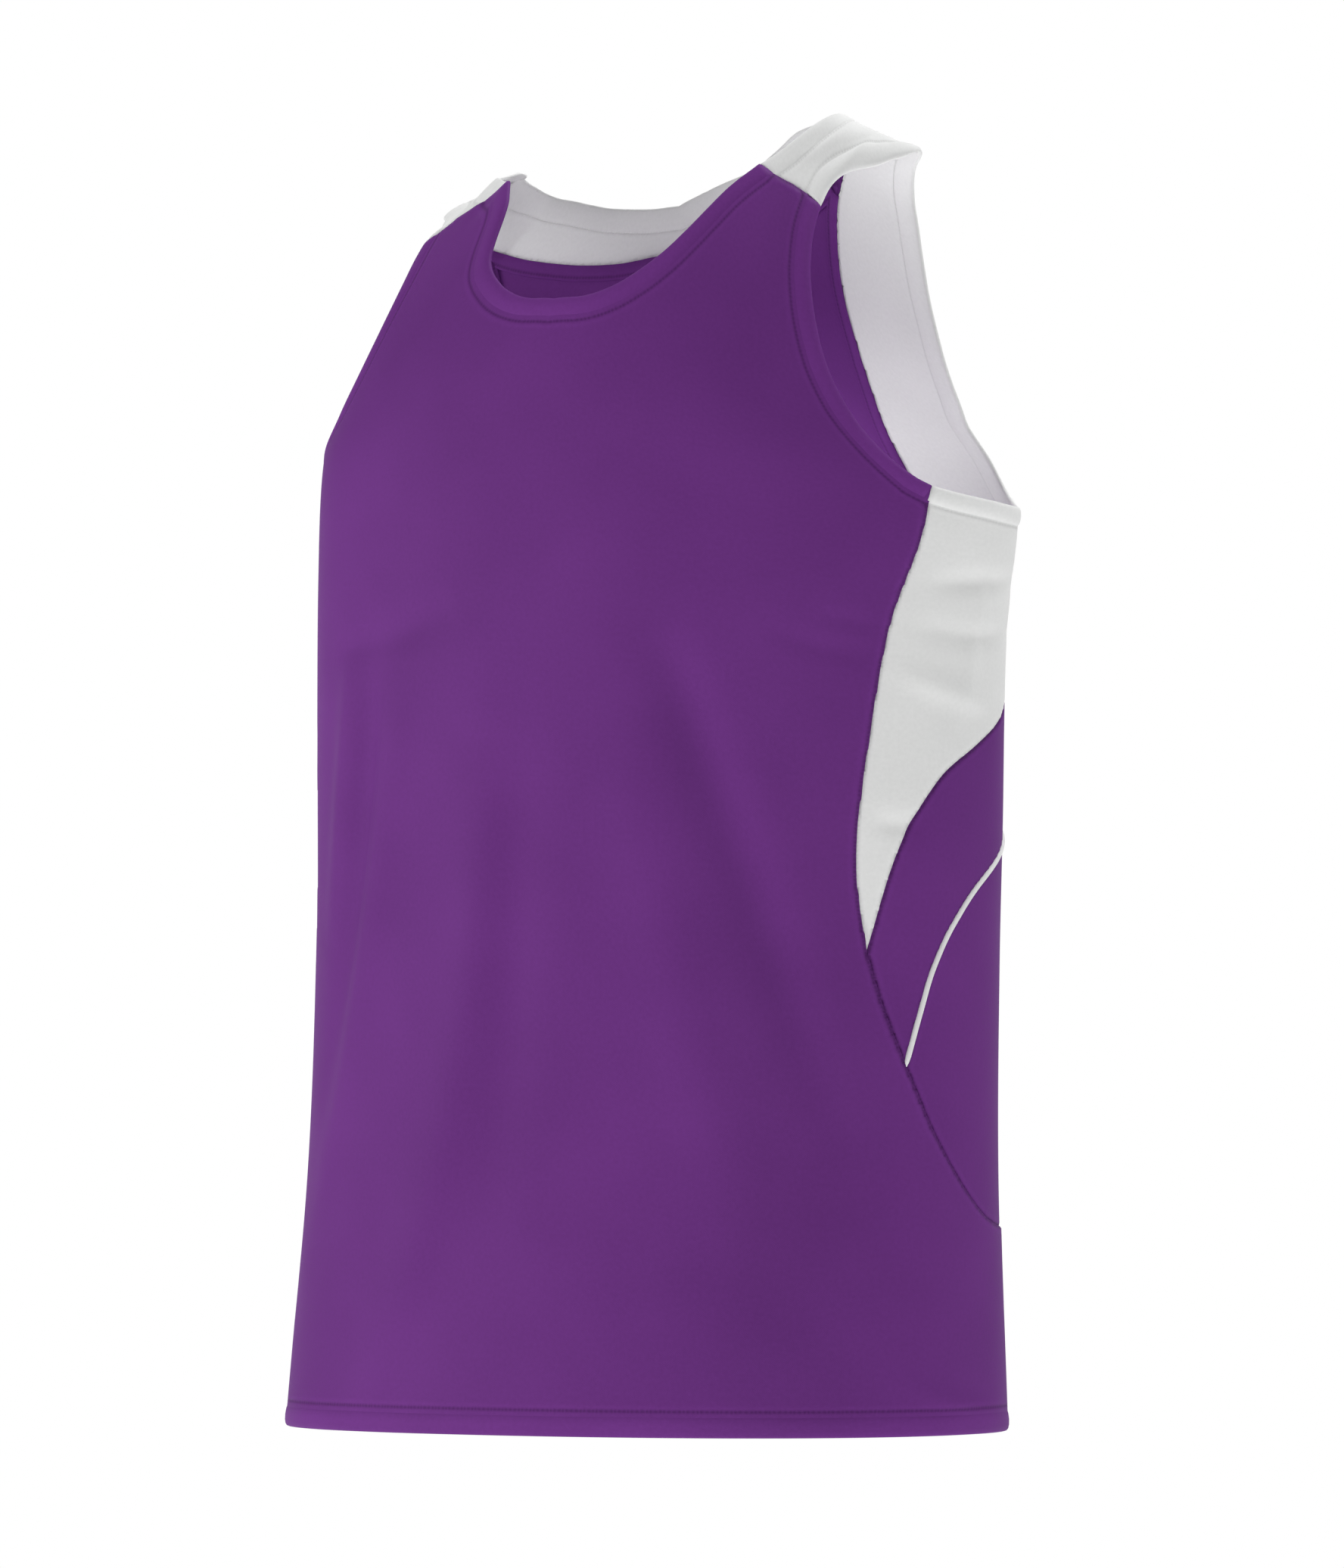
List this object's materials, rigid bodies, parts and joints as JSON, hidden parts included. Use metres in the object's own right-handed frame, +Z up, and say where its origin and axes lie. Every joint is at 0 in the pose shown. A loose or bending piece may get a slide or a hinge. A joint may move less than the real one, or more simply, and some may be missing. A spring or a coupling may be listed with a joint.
{
  "type": "track singlet",
  "caption": "Sleeveless athletics singlet with forward shoulder seams, wide armholes, side wings and a piped back, in worn shape with a hollow body.",
  "frame": {"origin": "midway between the two shoulder straps, level with the middle of each strap where it rests on the shoulder", "axes": "+Z up along the body, -Y out of the chest, +X towards the wearer's left"},
  "size_m": [0.4311, 0.2921, 0.7196],
  "materials": {
    "purple_knit": "satin-smooth polyester knit",
    "white_knit": "satin-smooth polyester knit",
    "piping": "smooth woven tape"
  },
  "bodies": {
    "root": {"front_panel": "purple_knit", "centre_back_panel": "purple_knit", "lower_back_panel": "purple_knit", "back_yoke": "white_knit", "back_piping": "piping"}
  },
  "joints": []
}
